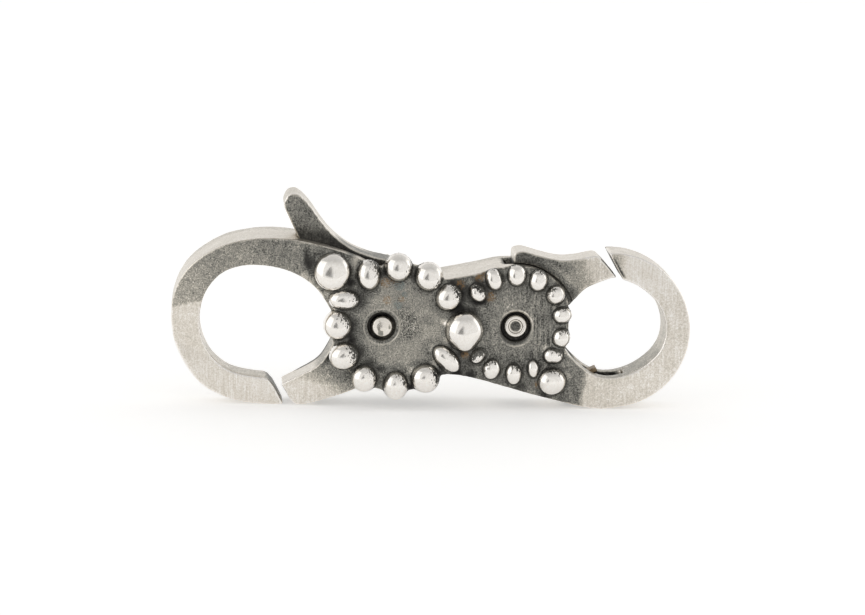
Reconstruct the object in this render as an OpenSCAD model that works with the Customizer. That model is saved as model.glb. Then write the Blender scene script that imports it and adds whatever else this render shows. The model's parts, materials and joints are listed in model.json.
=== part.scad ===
// Double-ended trigger clasp in silver, decorated with soldered silver granules.
// Millimetres. The clasp stands on its lower edge: X runs along it from the big
// hook to the small ring, Y goes from the front face to the back, Z is up.
// Every outline is a front view, so its points are [x, z].

/* [Body] */
// Thickness over both plates at the big disc
body_t = 4.7; // [4.5:0.1:4.9]
// Thickness of the ring at the small end
ring_t = 2.8; // [2.7:0.1:2.9]
// Radius of the big disc
disc_r = 3.83; // [3.81:0.01:3.84]
// Outer radius of the ring
ring_r = 4.84; // [4.82:0.01:4.86]

/* [Slots and pins] */
// Width of the slot for the big gate
big_slot_t = 2.35; // [2.3:0.05:2.4]
// Width of the slot for the small gate
small_slot_t = 2.25; // [2.2:0.05:2.3]
// Width of the groove that holds the leaf spring
groove_t = 1; // [0.9:0.05:1.1]
// Radius of both pivot pins
pin_r = 0.62; // [0.58:0.01:0.62]
// Running clearance of a pin in its gate
pin_gap = 0.03; // [0.02:0.01:0.04]
// Gap between a gate and each wall of its slot
side_gap = 0.05; // [0.04:0.01:0.08]
// Radius of the recess round the big pin's head
big_recess_r = 0.87; // [0.8:0.01:0.95]
// Radius of the recess round the small pin's head
small_recess_r = 0.93; // [0.85:0.01:1]
// Depth of both recesses
recess_d = 0.5; // [0.4:0.05:0.55]

/* [Gates] */
// Gap between a gate's shoulder and the rim of the plates
shoulder_gap = 0.07; // [0.06:0.01:0.1]
// Radius of the big gate's hub
big_hub_r = 2.47; // [2.4:0.01:2.5]
// Radius of the small gate's hub
small_hub_r = 2.2; // [2.1:0.05:2.25]
// Thickness of the thumb tab at its free end
tab_t = 3; // [2.6:0.1:3.2]

/* [Spring] */
// Thickness of the leaf
leaf_t = 0.28; // [0.2:0.02:0.3]
// Width of the leaf
leaf_w = 0.9; // [0.8:0.05:0.9]

/* [Granules] */
// How deep a granule sinks into the plate, as a share of its radius over the centre
granule_rise = 0.25; // [0.15:0.05:0.35]

/* [Hidden] */
$fn = 48;

silver = [0.80, 0.79, 0.76];
dark_silver = [0.45, 0.44, 0.42];
pin_silver = [0.88, 0.88, 0.86];
spring_bronze = [0.45, 0.38, 0.30];

// Centres of the big disc, of the two pivots and of the ring; the small disc's is its pivot
big_disc = [-2.2, 5.15];
big_pivot = [-3.14, 5.18];
small_pivot = [5.12, 5.2];
ring_centre = [11.15, 4.94];
// Radius of the small disc's rim
small_disc_r = 3.83;
// Depth, to either side of the middle plane, that is past every face
through = 3;
// Height that is past the top of everything
top_z = 14;
// How far solids that are joined run into each other
overlap = 0.12;

// The plates thin towards the ring between these two places
taper_x = [2.35, 10.4];
half_t = body_t / 2;
// The granules stand out in front, so the middle plane lies behind the origin
middle_y = 0.67;

// Thickness of the big hook, across the direction in which it thins
hook_taper_angle = 66.3;
// columns: distance along that direction, half thickness
hook_taper = [[-8, 1], [-2.7, 1.09], [1.1, 1.87], [4.1, 2.22], [6.4, half_t], [14, half_t]];

// Half thickness of the big gate's arm: columns x, half thickness
arm_taper = [[-9.4, 1.08], [-5.3, 1.6], [-2.8, 1.6]];
// Half thickness of the small gate's arm: columns x, half thickness
small_arm_taper = [[4.5, 1.33], [6.5, 1.25], [9, 1.15], [11.5, 1.12]];

// Outline of the big hook, from the disc over the top and round to the tip
hook_outer = [[-4.55, 9.37], [-5.8, 9.82], [-7.6, 10.3], [-9.45, 10.56], [-11.25, 10.47],
    [-13.05, 9.98], [-14.85, 8.74], [-15.8, 7.05], [-15.98, 5.1], [-15.53, 3.22], [-14.2, 1.3],
    [-12.35, 0.32], [-10.7, 0.02], [-9.6, 0], [-9.03, 0]];
// The tip's end face and its rounded inner corner
hook_tip = [[-9.37, 0.66], [-9.7, 1.25], [-10, 1.59]];
// Inside of the hook, from the tip round to the disc
hook_inner = [[-10.3, 1.71], [-11.1, 1.79], [-12.35, 2.1], [-13.46, 2.95], [-14.09, 4.16],
    [-14.25, 5.5], [-13.95, 7], [-13.05, 8.21], [-11.84, 8.76], [-10.5, 8.84], [-9.1, 8.6],
    [-7.9, 8.05], [-6.95, 7.2], [-6.15, 5.95]];
// Lower edge of the waist, from the big disc to the ring
waist_lower = [[0.51, 2.2], [1.1, 2.24], [2.35, 2.09], [4.25, 1.56], [6.1, 1.01],
    [8, 0.51], [9.3, 0.16], [10.5, 0], [11.2, 0.04]];
// Inside of the ring, from its tip round to the small disc
ring_inner = [[11.7, 8.14], [12.58, 7.8], [13.55, 7.09], [14.2, 6.2], [14.48, 5],
    [14.2, 3.8], [13.35, 2.85], [12.2, 2.2], [10.95, 1.97], [9.85, 2.28], [8.9, 3.03],
    [8.23, 3.81]];
// Rim of the small disc and upper edge of the waist, back to the big disc
waist_upper = [[8.42, 5.1], [8.4, 6.3], [8.1, 7.35], [7.35, 8.22], [6.33, 8.82], [5.2, 9],
    [4.1, 8.93], [2.8, 8.6], [1.55, 8.33], [0.42, 8.12]];

// Path of the wall that the thumb tab's root closes against
tab_wall = [[-8.44, 10.55], [-7.42, 8.1], [-6.6, 7.4]];
// Gap that the tab's root keeps from that wall
tab_wall_gap = [0.06, 0.04];
// Radius of the round web below that wall, about the big pivot
web_r = 2.97;
// Radial gap round a gate's hub, and the radii of the two spaces for the hubs
hub_gap = 0.14;
big_hub_slot_r = big_hub_r + hub_gap;
small_hub_slot_r = small_hub_r + hub_gap;
// Directions in which the slots end, about the pivots
big_slot_end = 45;
web_start = 147;
web_end = 165;
small_slot_end = -12;
// Left wall of the small slot
small_slot_left = 4.45;
// Lower right side of the big slot, where the arm swings
big_slot_floor = [[-8.3, 5.8], [-8.3, 0.3], [-3.45, 1], [-2.9, 2.7]];
// Floor of the spring's groove
groove_floor = [[5, 2.02], [7, 1.86], [8.4, 1.66], [9.2, 1.5], [11.2, 1.4], [12.05, 1.8]];

// Radii about the discs at which the gates grow thicker than their slots
big_shoulder_r = disc_r + shoulder_gap;
small_shoulder_r = small_disc_r + shoulder_gap;

// Big gate: right side of the thumb tab, from the shoulder up to its round end
tab_right = [[-2.97, 9.16], [-3.89, 9.36], [-5.13, 9.87], [-6.25, 10.72], [-7, 11.6],
    [-7.62, 12.46], [-8.2, 13.03], [-8.61, 13.2], [-9, 13.03], [-9.2, 12.6], [-9.2, 12.35]];
// Big gate: upper edge of the arm, from the hub to the end
arm_upper = [[-6.07, 3.98], [-6.3, 3.45], [-6.9, 2.58], [-8.05, 1.88], [-9.2, 1.3]];
// Big gate: end face and lower edge of the arm
arm_lower = [[-8.89, 0.81], [-8.6, 0.3], [-8.35, 0.08], [-8, 0.05], [-7.4, 0.14], [-6.18, 0.53],
    [-4.96, 1], [-3.75, 1.5]];

// Small gate: upper edge from the thumb stub to the end, then back along the arm
stub_upper = [[4.97, 9.62], [5.16, 9.75], [5.62, 9.79], [6.52, 9.55], [7.77, 9.28], [8.9, 9.34],
    [9.8, 9.54], [10.17, 9.53]];
small_arm_end = [[10.6, 9.12], [11.34, 8.26], [11.29, 8.2]];
small_arm_lower = [[11, 8.17], [10, 7.78], [9.3, 7.38], [8.48, 6.45]];
// Directions about the small pivot between which the hub is bare
small_arm_angle = 21;
small_stub_angle = -254;

// Middle line of the leaf spring
leaf_line = [[5.4, 2.22], [7, 2.07], [8.4, 1.87], [9.1, 1.88], [9.65, 2.03], [10.15, 2.25]];

// Granules round the big disc: columns x, z, diameter, length, direction of the length
big_granules = [
    [-6.22, 8.54, 2.08, 2.16, 90],
    [-4, 8.45, 1.26, 1.82, 93],
    [-2.14, 8.89, 1.52, 1.67, 95],
    [-0.32, 8.4, 1.6, 1.7, 90],
    [0.92, 7.1, 1.5, 1.68, 50],
    [1.94, 4.88, 2.14, 2.28, 85],
    [1.05, 3.03, 1.2, 1.25, -42],
    [0.46, 3.6, 0.9, 0.9, 0],
    [-0.41, 2, 1.52, 1.74, 100],
    [-2.21, 1.54, 1.44, 1.76, 90],
    [-4.15, 1.97, 1.5, 1.65, 85],
    [-5.5, 3.28, 1.58, 1.65, 20],
    [-5.9, 5.3, 1.62, 1.7, 90],
    [-5.46, 6.85, 1.05, 1.74, 0]];
// Granules round the small disc, with the same columns
small_granules = [
    [2.69, 7.38, 0.95, 1.2, -55],
    [3.68, 8.2, 1, 1.34, 108],
    [5.09, 8.45, 1.1, 1.32, 90],
    [6.45, 8.14, 1.05, 1.31, 80],
    [7.54, 7.22, 1.12, 1.2, 35],
    [7.99, 5.95, 0.95, 1.19, 5],
    [7.97, 4.5, 1, 1.07, 80],
    [7.5, 3.42, 0.92, 1.19, 0],
    [6.26, 2.6, 0.72, 1.13, 98],
    [5.05, 2.26, 0.98, 1.24, 95],
    [3.67, 2.57, 1.06, 1.21, 80],
    [2.8, 3.4, 0.72, 0.92, 45],
    [7.5, 1.77, 1.66, 1.74, 0]];

// Size of the end balls of an egg, against its middle
end_ball = 0.86;

// Gap round a pin where it sits fast in the plates
pin_seat_gap = 0.01;
// How far the pins' heads lie below the front face
pin_sunk = 0.2;
// Scallop in the rim of the back plate, beside the tab's root: direction and distance of its
// centre from the big disc's, and its radius
scallop_angle = 75;
scallop_distance = 5.43;
scallop_r = 2.3;

// Profiles of the pins' heads, outwards in: columns share of the pin's radius, height
big_pin_head = [[1, -0.15], [0.87, -0.04], [0.5, 0.03], [0, 0.05]];
small_pin_head = [[1, -0.1], [0.86, 0], [0.65, 0], [0.55, -0.12], [0, -0.12]];

// Smooth curve through a row of points, with n steps from each to the next
function curve(p, n = 5) = [
    for (i = [0 : len(p) - 2], k = [0 : n - 1])
        let (a = p[max(i - 1, 0)], b = p[i], c = p[i + 1], d = p[min(i + 2, len(p) - 1)],
             t = k / n)
        (2 * b + (c - a) * t + (2 * a - 5 * b + 4 * c - d) * t * t
         + (3 * b - a - 3 * c + d) * t * t * t) / 2,
    p[len(p) - 1]];
// Point at a distance and angle from a centre
function polar(c, r, a) = c + r * [cos(a), sin(a)];
// Arc of points about a centre
function arc(c, r, a0, a1, n) = [for (k = [0 : n]) polar(c, r, a0 + (a1 - a0) * k / n)];
// The curve moved sideways by w, to the left of its run
function beside(p, w) = [
    for (i = [0 : len(p) - 1])
        let (v = p[min(i + 1, len(p) - 1)] - p[max(i - 1, 0)])
        p[i] + w * [-v.y, v.x] / norm(v)];
function backwards(p) = [for (i = [len(p) - 1 : -1 : 0]) p[i]];
// Mirrors a row of [place, half thickness] into a closed outline
function both_sides(p) = concat(p, [for (q = backwards(p)) [q.x, -q.y]]);
// Half thickness of the body at a place along it
function half_at(x) =
    lookup(x, [[taper_x[0], half_t], [taper_x[1], ring_t / 2]]);

// Where the hook's thickness ends and the waist's begins, both inside the big disc
hook_end = -3.2;
waist_start = -1.2;
// Directions about the big disc where the hook and the waist join its rim
disc_top_left = 108;
disc_left = 170;
disc_lower_right = 311;
disc_upper_right = 49;
// Direction about the ring's centre at which its outer side ends at the tip
ring_tip_angle = 94.2;

body_outline = concat(
    curve(hook_outer),
    hook_tip,
    curve(hook_inner, 4),
    arc(big_disc, disc_r, disc_left, disc_lower_right, 24),
    curve(waist_lower, 4),
    arc(ring_centre, ring_r, -82, ring_tip_angle, 32),
    curve(ring_inner),
    curve(waist_upper, 4),
    arc(big_disc, disc_r, disc_upper_right, disc_top_left, 10));

big_gate_outline = concat(
    curve(tab_right, 4),
    [for (p = tab_wall) p + tab_wall_gap],
    arc(big_pivot, big_hub_r, 146, 203, 8),
    curve(arm_upper, 4),
    curve(arm_lower, 3),
    arc(big_pivot, big_hub_r, 268, 438, 24),
    [polar(big_pivot, 3.6, 78), [-2.5, 9.03]]);

small_gate_outline = concat(
    curve(stub_upper, 4),
    small_arm_end,
    curve(small_arm_lower, 3),
    arc(small_pivot, small_hub_r, small_arm_angle, small_stub_angle, 30),
    [[small_slot_left + shoulder_gap, 8.2], [4.92, 8.75]]);

// Extrudes a front view to a thickness, centred on the middle plane
module slab(t) {
    rotate([90, 0, 0]) linear_extrude(t, center = true) children();
}

// Cylinder along Y about a front-view point, from one depth to another
module rod(c, r, y0, y1) {
    translate([c.x, y1, c.y]) rotate([90, 0, 0]) cylinder(r = r, h = y1 - y0);
}

// Part of the hook's thickness that thins towards its tip
module hook_wedge() {
    intersection() {
        rotate([0, -hook_taper_angle, 0])
            linear_extrude(50, center = true) polygon(both_sides(hook_taper));
        translate([hook_end - 20, -4, 0]) cube([20, 8, 16]);
    }
}

// Part of the thickness that thins from the big disc to the ring
module waist_taper() {
    linear_extrude(top_z) polygon(both_sides([[waist_start, half_t], [taper_x[0], half_t],
        [taper_x[1], ring_t / 2], [17, ring_t / 2]]));
}

// One soldered granule: a ball, drawn out to an egg by a smaller ball at each end
module granule(g) {
    stretch = (g[3] - end_ball * g[2]) / 2;
    for (side = g[3] > g[2] ? [-1, 0, 1] : [0]) {
        place = polar([g[0], g[1]], side * stretch, g[4]);
        translate([place.x, -half_at(g[0]) - granule_rise * g[2] / 2, place.y])
            sphere(d = g[2] * (side == 0 ? 1 : end_ball));
    }
}

// Space between the plates in which the big gate swings
module big_slot() {
    slab(big_slot_t) polygon(concat(
        [big_pivot, polar(big_pivot, 5.6, big_slot_end), [-1, top_z], [-9.9, top_z]],
        tab_wall,
        arc(big_pivot, web_r, web_start, web_end, 4),
        [polar(big_pivot, 3.4, web_end)],
        big_slot_floor));
    rod(big_pivot, big_hub_slot_r, -big_slot_t / 2, big_slot_t / 2);
}

// Space between the plates in which the small gate swings
module small_slot() {
    slab(small_slot_t) polygon([small_pivot, polar(small_pivot, 4.1, small_slot_end),
        [9.2, top_z], [small_slot_left, top_z], [small_slot_left, small_pivot.y]]);
    rod(small_pivot, small_hub_slot_r, -small_slot_t / 2, small_slot_t / 2);
}

// Groove for the leaf spring, in the floor of the slot and the base of the ring
module spring_groove() {
    slab(groove_t) polygon(concat(curve(groove_floor, 3), [[12.05, 3], [8.4, 4.1], [5, 3.4]]));
}

// Bore for a pivot pin and the recess round its head
module pin_bore(c, recess_r) {
    rod(c, pin_r + pin_seat_gap, -through, through);
    rod(c, recess_r, -through, recess_d - half_at(c.x));
}

module body() color(silver) difference() {
    union() {
        intersection() {
            slab(2 * through) polygon(body_outline);
            union() {
                rod(big_disc, disc_r + overlap, -half_t, half_t);
                hook_wedge();
                waist_taper();
            }
        }
        for (g = big_granules) granule(g);
        for (g = small_granules) granule(g);
    }
    big_slot();
    small_slot();
    spring_groove();
    rod(polar(big_disc, scallop_distance, scallop_angle), scallop_r, 0, through);
    pin_bore(big_pivot, big_recess_r);
    pin_bore(small_pivot, small_recess_r);
}

module large_gate() color(dark_silver) difference() {
    intersection() {
        slab(2 * through) polygon(big_gate_outline);
        union() {
            // the hub and the root of the tab, inside the slot
            rod(big_disc, big_shoulder_r + overlap, side_gap - big_slot_t / 2,
                big_slot_t / 2 - side_gap);
            // the tab, flaring to its end
            rotate([0, -90, 0]) linear_extrude(20, center = true)
                polygon(both_sides([[7, big_slot_t / 2 - side_gap],
                    [10.6, big_slot_t / 2 - side_gap], [13.3, tab_t / 2]]));
            // the arm, outside the rim of the disc
            difference() {
                linear_extrude(6.5) polygon(both_sides(arm_taper));
                rod(big_disc, big_shoulder_r, -through, through);
            }
        }
    }
    rod(big_pivot, pin_r + pin_gap, -through, through);
}

module small_gate() color(silver) difference() {
    intersection() {
        slab(2 * through) polygon(small_gate_outline);
        union() {
            // the hub and the root of the arm, inside the slot
            rod(small_pivot, small_shoulder_r + overlap, side_gap - small_slot_t / 2,
                small_slot_t / 2 - side_gap);
            // the thumb stub and the arm, outside the rim of the disc
            difference() {
                linear_extrude(top_z) polygon(both_sides(small_arm_taper));
                rod(small_pivot, small_shoulder_r, -through, through);
            }
        }
    }
    rod(small_pivot, pin_r + pin_gap, -through, through);
}

// Turned pin along Y, from the back face to its head in the recess
module pin(c, head) {
    back = half_at(c.x);
    translate([c.x, 0, c.y]) rotate([90, 0, 0]) rotate_extrude()
        polygon(concat([[0, -back], [pin_r, -back]],
            [for (h = head) [h[0] * pin_r, back - pin_sunk + h[1]]]));
}

module large_pivot_pin() color(pin_silver) pin(big_pivot, big_pin_head);
module small_pivot_pin() color(pin_silver) pin(small_pivot, small_pin_head);

module small_gate_spring() color(spring_bronze)
    slab(leaf_w) polygon(concat(beside(curve(leaf_line, 3), leaf_t / 2),
        backwards(beside(curve(leaf_line, 3), -leaf_t / 2))));

// Sets the middle plane in its place behind the origin
module placed() {
    translate([0, middle_y, 0]) children();
}

placed() body();
placed() large_gate();
placed() small_gate();
placed() large_pivot_pin();
placed() small_pivot_pin();
placed() small_gate_spring();
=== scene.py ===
"""Looks of a double-ended trigger clasp: worn, darkened silver with polished granules.

Lengths in the tables are millimetres in the frame of the model; [x, z] pairs are places
on the front view. Blender's own objects are in metres.
"""
import json
import math

import bmesh
import bpy
import numpy as np
from mathutils import Matrix, Vector


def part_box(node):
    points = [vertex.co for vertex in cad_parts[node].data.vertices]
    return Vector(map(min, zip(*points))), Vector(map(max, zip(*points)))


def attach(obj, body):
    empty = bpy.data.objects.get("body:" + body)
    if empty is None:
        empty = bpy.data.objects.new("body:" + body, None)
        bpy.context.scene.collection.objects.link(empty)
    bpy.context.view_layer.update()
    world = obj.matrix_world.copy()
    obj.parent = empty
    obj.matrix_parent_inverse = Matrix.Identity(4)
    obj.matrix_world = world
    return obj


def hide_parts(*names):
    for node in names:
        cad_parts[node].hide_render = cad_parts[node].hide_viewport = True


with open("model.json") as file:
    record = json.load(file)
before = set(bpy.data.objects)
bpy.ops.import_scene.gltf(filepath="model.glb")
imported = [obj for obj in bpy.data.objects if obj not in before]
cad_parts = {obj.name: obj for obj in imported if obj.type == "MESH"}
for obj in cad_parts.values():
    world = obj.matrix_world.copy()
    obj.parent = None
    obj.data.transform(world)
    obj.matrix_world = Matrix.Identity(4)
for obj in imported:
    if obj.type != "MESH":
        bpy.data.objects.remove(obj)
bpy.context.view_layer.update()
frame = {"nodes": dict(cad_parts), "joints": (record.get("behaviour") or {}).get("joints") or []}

MM = 0.001

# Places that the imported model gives
JOINTS = {j["name"]: [v / MM for v in j["pos_m"]] for j in frame["joints"]}
BIG_PIVOT = np.array(JOINTS["large_gate_hinge"])[[0, 2]]
SMALL_PIVOT = np.array(JOINTS["small_gate_hinge"])[[0, 2]]
MIDDLE_Y = JOINTS["large_gate_hinge"][1]
BODY_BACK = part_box("body")[1][1] / MM

# Driving sizes, as on the model; both discs have one radius
BIG_DISC = np.array([-2.2, 5.15])
DISC_R = 3.83
HALF_BODY = BODY_BACK - MIDDLE_Y
HALF_RING = 1.4
TAPER_X = (2.35, 10.4)
BIG_RECESS_R = 0.87
SMALL_RECESS_R = 0.93
RING_CENTRE = np.array([11.15, 4.94])
SMALL_SLOT_LEFT = 4.45
# The seam between the small disc and its gate: how far the gate is drawn in, and half the
# width of the strip along it that stays crisp
SEAM_FILL = 0.045
SEAM_HALF_WIDTH = 0.35
# Shallow dish round each recess; the painted shade in the small one lies off its centre
DISH_R = 1.08
DISH_DEPTH = 0.06
SMALL_DISH_SHADE = SMALL_PIVOT + np.array([-0.06, -0.14])
# A rough stain beside the big recess, and scratches above the small one
STAIN = (-1.66, 5.31)
SCRATCHES = (5.0, 6.5)
# Part of the leaf spring that is worn to bare bronze, along x
LEAF_END = (9.4, 10.6)

# Granules, as on the model: x, z, diameter, length, direction of the length; then the
# direction of their dark side, and the share of the radius at which the polish ends there
GRANULES = [
    (-6.25, 8.55, 2.19, 2.26, 90, -30, 0.97), (-4, 8.4, 1.36, 1.82, 93, 40, 0.68),
    (-2.2, 8.9, 1.62, 1.7, 95, -20, 0.82), (-0.33, 8.36, 1.66, 1.74, 90, -35, 0.84),
    (0.92, 7.1, 1.5, 1.68, 50, 30, 0.6), (1.93, 5.0, 2.26, 2.38, 85, 60, 1.0),
    (0.86, 3.27, 1.16, 1.95, -43, 50, 0.68), (-0.4, 2.02, 1.7, 1.76, 100, 15, 0.62),
    (-2.21, 1.54, 1.44, 1.76, 90, 40, 0.75), (-4.15, 1.97, 1.5, 1.65, 85, 30, 0.8),
    (-5.4, 3.36, 1.6, 1.84, 20, 20, 0.55), (-5.85, 5.27, 1.72, 1.72, 90, 40, 0.62),
    (-5.46, 6.84, 1.18, 1.84, 0, 20, 0.75),
    (2.69, 7.38, 0.95, 1.2, -55, 60, 0.3), (3.68, 8.2, 1, 1.34, 108, 15, 0.8),
    (5.09, 8.45, 1.15, 1.32, 90, -15, 0.8), (6.43, 8.12, 1.13, 1.33, 80, 60, 0.8),
    (7.54, 7.22, 1.12, 1.2, 35, 135, 0.72), (7.99, 5.95, 1.0, 1.19, 5, 110, 0.7),
    (7.97, 4.54, 1.08, 1.18, 80, 75, 0.7), (7.5, 3.43, 1.0, 1.25, 0, 60, 0.5),
    (6.26, 2.6, 0.72, 1.13, 98, -30, 0.75), (5.05, 2.3, 0.98, 1.32, 95, 60, 0.65),
    (3.67, 2.63, 1.06, 1.26, 80, 105, 0.62), (2.8, 3.45, 0.8, 1.06, 45, 120, -0.1),
    (7.47, 1.82, 1.64, 1.74, 0, 90, 0.8)]
BIG_COUNT = 13
GRANULE_RISE = 0.25
GRANULE_R = np.array([g[2] / 2 for g in GRANULES])
# Depth of each granule as a share of a ball's; the two largest are worn flatter
FLATNESS = np.array([{0: 0.62, 5: 0.7}.get(i, 0.78) for i in range(len(GRANULES))])
# How much the granules' forms are over their final size
SPARE = 0.03
# Soft corners in the outline of some granules: direction and share of the radius
CORNERS = {5: [(-86, 0.07), (-132, -0.06), (-40, -0.06), (68, 0.03), (4, 0.03)],
           6: [(-43, 0.06), (50, -0.05)], 11: [(112, 0.06)], 20: [(90, -0.06), (-90, -0.06)]}
CORNER_WIDTH = 22
# Granules bulge like this at their front; 2 is a ball
BLUNT = 2.4
# Solder between the granules on the big disc's rim: first and last direction; then its
# balls: radius, degrees from one to the next, distance from the disc's middle, depth in the plate
RIM_WEBS = [(58, 96), (180, 320)]
WEB_BALL_R, WEB_STEP, RIM_WEB_R, WEB_DEPTH = 0.3, 3.5, 3.74, 0.26
# Solder round a granule's foot: how far it spreads, also for the two largest, half its
# height, its depth in the plate, and how far it lies towards the disc's middle
FOOT_SPREAD, LARGE_FOOT_SPREAD = 0.14, 0.07
FOOT_RISE, FOOT_DEPTH, FOOT_SHIFT = 0.3, 0.05, 0.08


def placed(name, data):
    """A new object in the scene."""
    thing = bpy.data.objects.new(name, data)
    bpy.context.scene.collection.objects.link(thing)
    return thing


def place_camera():
    """The photograph's viewpoint: ten degrees above the clasp and a little to its left."""
    azimuth, elevation, roll = map(math.radians, (-3.83, 10.0, 1.43))
    distance, aim = 217.04, np.array([0.098, MIDDLE_Y, 6.002])
    back = np.array([math.sin(azimuth) * math.cos(elevation),
                     -math.cos(azimuth) * math.cos(elevation), math.sin(elevation)])
    level = np.array([math.cos(azimuth), math.sin(azimuth), 0.0])
    upright = np.cross(back, level)
    right = math.cos(roll) * level + math.sin(roll) * upright
    up = math.cos(roll) * upright - math.sin(roll) * level
    data = bpy.data.cameras.new("camera")
    data.sensor_width, data.lens = 36.0, 146.17
    data.clip_start, data.clip_end = 0.01, 20.0
    camera = placed("camera", data)
    turn = Matrix(np.column_stack([right, up, back]).tolist()).to_4x4()
    camera.matrix_world = Matrix.Translation((aim + back * distance) * MM) @ turn
    bpy.context.scene.camera = camera


def smooth(value, low, high):
    """0 below low, 1 above high, and a soft step between them; low may be the larger."""
    t = np.clip((value - low) / (high - low), 0.0, 1.0)
    return t * t * (3.0 - 2.0 * t)


def lattice(cells, seed):
    """A repeatable random value from 0 to 1 for each whole-number cell."""
    mixed = (cells[:, 0] * 73856093) ^ (cells[:, 1] * 19349663) ^ (cells[:, 2] * 83492791)
    mixed = (mixed ^ (seed * 2654435761)) & 0xFFFFFFFF
    mixed = ((mixed ^ (mixed >> 16)) * 0x45D9F3B) & 0xFFFFFFFF
    mixed = ((mixed ^ (mixed >> 16)) * 0x45D9F3B) & 0xFFFFFFFF
    return ((mixed ^ (mixed >> 16)) & 0xFFFFFF) / float(0xFFFFFF)


def noise(points, size, seed, octaves=1):
    """Smooth noise from 0 to 1 with features of about that size."""
    total, weight, share = np.zeros(len(points)), 0.0, 1.0
    for octave in range(octaves):
        scaled = points / np.array(size, float) * 2.0 ** octave
        cell = np.floor(scaled).astype(np.int64)
        part = scaled - cell
        part = part * part * (3.0 - 2.0 * part)
        value = np.zeros(len(points))
        for corner in np.ndindex(2, 2, 2):
            near = np.where(np.array(corner) == 1, part, 1.0 - part).prod(axis=1)
            value += near * lattice(cell + np.array(corner), seed + 17 * octave)
        total += share * value
        weight += share
        share *= 0.5
    return total / weight


def turned(x, z, direction):
    """Front-view coordinates after a turn by so many degrees."""
    angle = math.radians(direction)
    return (x * math.cos(angle) - z * math.sin(angle), x * math.sin(angle) + z * math.cos(angle))


def corner_swell(x, z, corners):
    """How far an outline with soft corners reaches in the direction of each point."""
    swell = np.ones(len(x))
    for direction, reach in corners:
        away = (np.degrees(np.arctan2(z, x)) - direction + 180) % 360 - 180
        swell += reach * np.exp(-(away / CORNER_WIDTH) ** 2)
    return swell


def lump(place, half_sizes, direction=0.0, blunt=2.0, corners=()):
    """A smooth egg as points and triangles; its second axis is the clasp's depth.

    Above 2, blunt flattens its front; corners draw out its outline.
    """
    ball = bmesh.new()
    bmesh.ops.create_icosphere(ball, subdivisions=4, radius=1.0)
    points = np.array([v.co for v in ball.verts])
    faces = np.array([[v.index for v in f.verts] for f in ball.faces])
    ball.free()
    outline = np.hypot(points[:, 0], points[:, 2])
    points /= ((outline ** blunt + np.abs(points[:, 1]) ** blunt) ** (1 / blunt))[:, None]
    points *= np.array(half_sizes)
    points[:, 0], points[:, 2] = turned(points[:, 0], points[:, 2], direction)
    points[:, [0, 2]] *= corner_swell(points[:, 0], points[:, 2], corners)[:, None]
    return points + np.array(place), faces


def joined(parts):
    """One mesh from several (points, faces) pairs."""
    points, faces, count = [], [], 0
    for part_points, part_faces in parts:
        points.append(part_points)
        faces.extend((np.asarray(part_faces) + count).tolist())
        count += len(part_points)
    mesh = bpy.data.meshes.new("joined")
    mesh.from_pydata(np.vstack(points).tolist(), [], faces)
    return mesh


def form_of(node):
    """A CAD node's own points and triangles, in millimetres."""
    mesh = frame["nodes"][node].data
    mesh.calc_loop_triangles()
    return read(mesh.vertices, "co", 3) / MM, read(mesh.loop_triangles, "vertices", 3, np.int32)


def remeshed(parts, voxel):
    """The union of closed forms as one even mesh."""
    work = placed("work", joined(parts))
    voxels = work.modifiers.new("voxels", "REMESH")
    voxels.mode, voxels.voxel_size = "VOXEL", voxel
    mesh = applied(work)
    bpy.data.objects.remove(work)
    return mesh


def applied(obj):
    """The mesh of an object with its modifiers applied."""
    graph = bpy.context.evaluated_depsgraph_get()
    return bpy.data.meshes.new_from_object(obj.evaluated_get(graph))


def read(collection, name, width, kind=np.float64):
    """One property of all of a mesh's points, edges or faces, as an array."""
    values = np.zeros(len(collection) * width, kind)
    collection.foreach_get(name, values)
    return values.reshape(-1, width) if width > 1 else values


def relaxed(points, edges, weight, rounds):
    """Each point drawn towards the middle of its neighbours, which rounds the edges."""
    count = np.maximum(np.bincount(edges.ravel(), minlength=len(points)), 1)
    for _ in range(rounds):
        middle = np.empty_like(points)
        for axis in range(3):
            ends = points[:, axis][edges]
            middle[:, axis] = (
                np.bincount(edges[:, 0], ends[:, 1], len(points))
                + np.bincount(edges[:, 1], ends[:, 0], len(points))) / count
        points = points + weight[:, None] * (middle - points)
    return points


def half_at(x):
    """Half the thickness of the plates, which thin towards the ring."""
    return np.interp(x, TAPER_X, (HALF_BODY, HALF_RING))


def height_over_plate(points):
    """How far points stand out of the front plate."""
    return MIDDLE_Y - half_at(points[:, 0]) - points[:, 1]


def granule_depth(i):
    """How far along Y a granule's centre lies."""
    return MIDDLE_Y - half_at(GRANULES[i][0]) - GRANULE_RISE * GRANULE_R[i] * FLATNESS[i]


def disc_of(i):
    """Front-view centre of the disc that a granule stands on."""
    return BIG_DISC if i < BIG_COUNT else SMALL_PIVOT


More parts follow.
